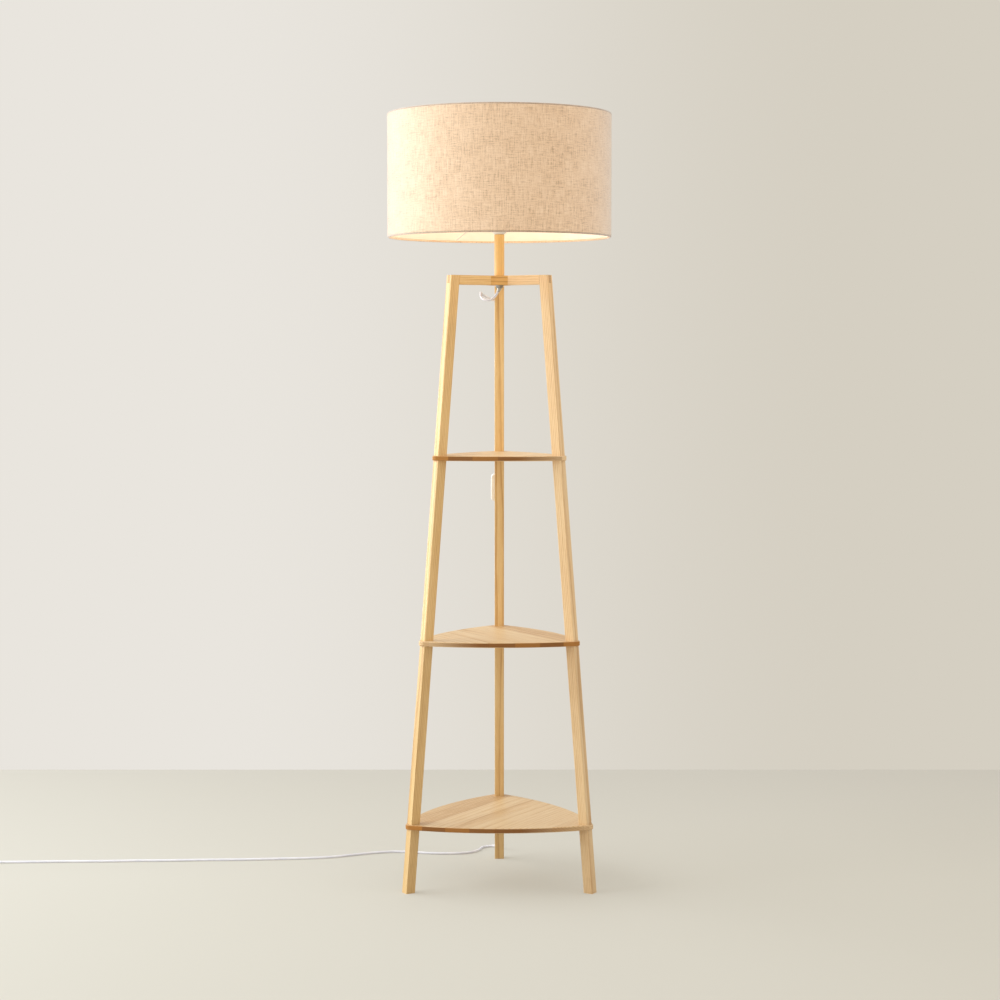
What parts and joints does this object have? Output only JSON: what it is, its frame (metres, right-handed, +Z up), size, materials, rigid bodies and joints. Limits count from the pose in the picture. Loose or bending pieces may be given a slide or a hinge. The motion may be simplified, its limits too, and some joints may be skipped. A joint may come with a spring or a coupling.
{
  "type": "shelf floor lamp",
  "caption": "Floor lamp with leaning wooden legs, rounded triangular shelves between them, a drum shade on a short pole and a mains cord with an in-line rocker switch.",
  "frame": {"origin": "on the floor, on the lamp's own axis", "axes": "+Z up along the pole; the rear leg points to +Y and the two front legs stand towards -Y"},
  "size_m": [1.3861, 0.5418, 1.556],
  "materials": {
    "leg_wood": "satin oiled oak",
    "hub_wood": "satin oiled oak end grain",
    "shelf_wood": "satin edge-glued oak",
    "pole_wood": "satin oiled oak",
    "dowel_wood": "plain beech",
    "zinc_steel": "zinc plated",
    "brass": "plain",
    "white_plastic": "smooth white",
    "cord_pvc": "soft white",
    "nickel": "nickel plated",
    "ceramic": "glazed white",
    "bulb_cap_metal": "satin",
    "opal_glass": "opal",
    "linen": "slubbed linen",
    "shade_lining": "smooth lining",
    "hem_tape": "rolled linen",
    "white_wire": "white paint"
  },
  "bodies": {
    "root": {"leg_rear_foot": "leg_wood", "leg_rear_lower": "leg_wood", "leg_rear_upper": "leg_wood", "leg_rear_top": "leg_wood", "leg_left_foot": "leg_wood", "leg_left_lower": "leg_wood", "leg_left_upper": "leg_wood", "leg_left_top": "leg_wood", "leg_right_foot": "leg_wood", "leg_right_lower": "leg_wood", "leg_right_upper": "leg_wood", "leg_right_top": "leg_wood", "arm_rear": "leg_wood", "arm_left": "leg_wood", "arm_right": "leg_wood", "hub": "hub_wood", "shelf_lower": "shelf_wood", "shelf_middle": "shelf_wood", "shelf_upper": "shelf_wood", "pole": "pole_wood", "hub_dowels": "dowel_wood", "shelf_studs": "zinc_steel", "hub_washer": "zinc_steel", "hub_nut": "zinc_steel", "threaded_tube": "zinc_steel", "clip_nails": "zinc_steel", "leg_inserts": "brass", "screw_shell": "brass", "centre_contact": "brass", "holder_cap": "white_plastic", "holder_shell": "white_plastic", "switch_inner_half": "white_plastic", "switch_outer_half": "white_plastic", "plug_body": "white_plastic", "cord_clips": "white_plastic", "inner_lead": "cord_pvc", "cord_upper": "cord_pvc", "cord_lower": "cord_pvc", "cord_coil": "cord_pvc", "plug_pins": "nickel", "strain_relief": "nickel", "holder_core": "ceramic"},
    "shade": {"shade_cover": "linen", "shade_liner": "shade_lining", "shade_hem_top": "hem_tape", "shade_hem_bottom": "hem_tape", "shade_wire_top": "white_wire", "shade_wire_bottom": "white_wire", "fitter_ring": "white_wire", "fitter_spokes": "white_wire"},
    "bulb": {"bulb_base": "bulb_cap_metal", "bulb_glass": "opal_glass"},
    "clamp_ring": {"retaining_ring": "white_plastic"},
    "rocker": {"switch_rocker": "white_plastic"}
  },
  "joints": [
    {"name": "shade_turn", "type": "hinge", "parent": "root", "child": "shade", "pos_m": [0, 0, 1.364], "axis": [0, 0, 1], "continuous": true},
    {"name": "clamp_ring_turn", "type": "hinge", "parent": "root", "child": "clamp_ring", "pos_m": [0, 0, 1.37], "axis": [0, 0, 1], "continuous": true},
    {"name": "bulb_turn", "type": "hinge", "parent": "root", "child": "bulb", "pos_m": [0, 0, 1.38], "axis": [0, 0, 1], "continuous": true},
    {"name": "rocker_tilt", "type": "hinge", "parent": "root", "child": "rocker", "pos_m": [-0.005, 0.16737, 0.79797], "axis": [1, 0, 0], "range_deg": [-16, 0]}
  ]
}
